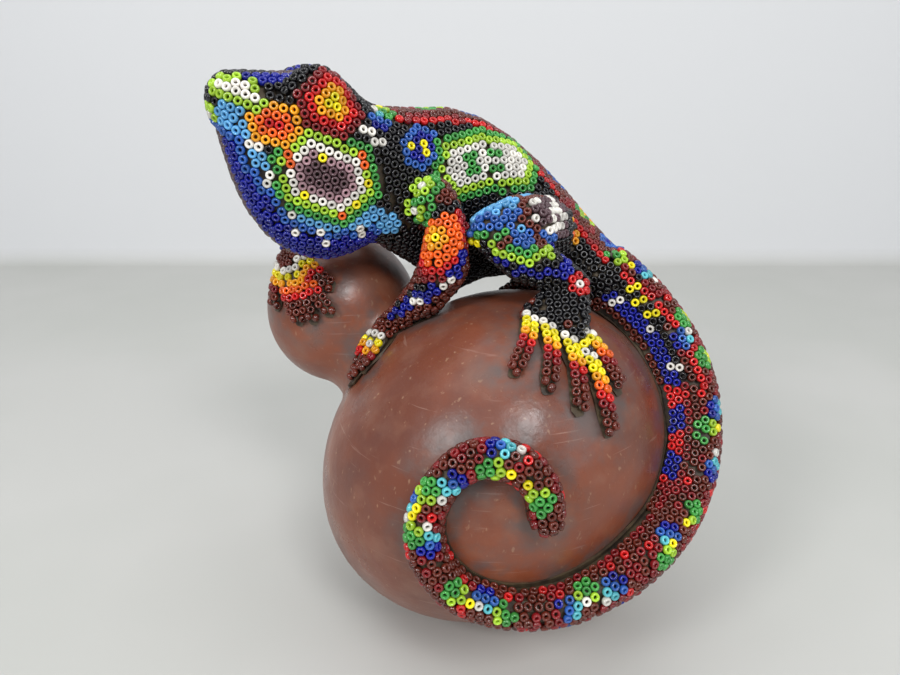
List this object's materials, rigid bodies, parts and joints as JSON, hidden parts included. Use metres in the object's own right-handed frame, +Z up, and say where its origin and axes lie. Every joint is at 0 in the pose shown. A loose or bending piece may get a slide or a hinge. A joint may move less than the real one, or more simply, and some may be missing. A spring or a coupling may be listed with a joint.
{
  "type": "beaded lizard figure on a gourd",
  "caption": "Table figure: a carved lizard skinned in glass seed beads set in beeswax, standing on a dried bottle gourd with its tail coiled in a spiral round the large bulb.",
  "frame": {"origin": "centre of the small flat that the gourd rests on", "axes": "+Z up; -Y towards the lizard's left side, where the tail's spiral shows; the lizard's head and the gourd's small lobe are towards -X"},
  "size_m": [0.1153, 0.0958, 0.1345],
  "materials": {
    "gourd": "waxed and polished, with cloudy scratches",
    "carved_core": "bare carved wood",
    "beeswax": "dark soft beeswax, slightly glossy",
    "bedding_wax": "smeared beeswax",
    "beads_head": "glossy glass seed beads, mostly black and blue",
    "beads_torso": "glossy glass seed beads, mostly dark red",
    "beads_tail": "glossy glass seed beads, mostly red-brown",
    "beads_arms": "glossy glass seed beads, red to yellow",
    "beads_legs": "glossy glass seed beads, green, blue and yellow"
  },
  "bodies": {
    "root": {"gourd_shell": "gourd", "head_core": "carved_core", "torso_core": "carved_core", "tail_core": "carved_core", "left_arm_core": "carved_core", "right_arm_core": "carved_core", "left_leg_core": "carved_core", "right_leg_core": "carved_core", "head_wax": "beeswax", "torso_wax": "beeswax", "tail_wax": "beeswax", "left_arm_wax": "beeswax", "right_arm_wax": "beeswax", "left_leg_wax": "beeswax", "right_leg_wax": "beeswax", "head_beadwork": "beads_head", "torso_beadwork": "beads_torso", "tail_beadwork": "beads_tail", "left_arm_beadwork": "beads_arms", "right_arm_beadwork": "beads_arms", "left_leg_beadwork": "beads_legs", "right_leg_beadwork": "beads_legs", "left_hand_pad": "bedding_wax", "right_hand_pad": "bedding_wax", "left_foot_pad": "bedding_wax", "right_foot_pad": "bedding_wax", "tail_pad": "bedding_wax"}
  },
  "joints": []
}
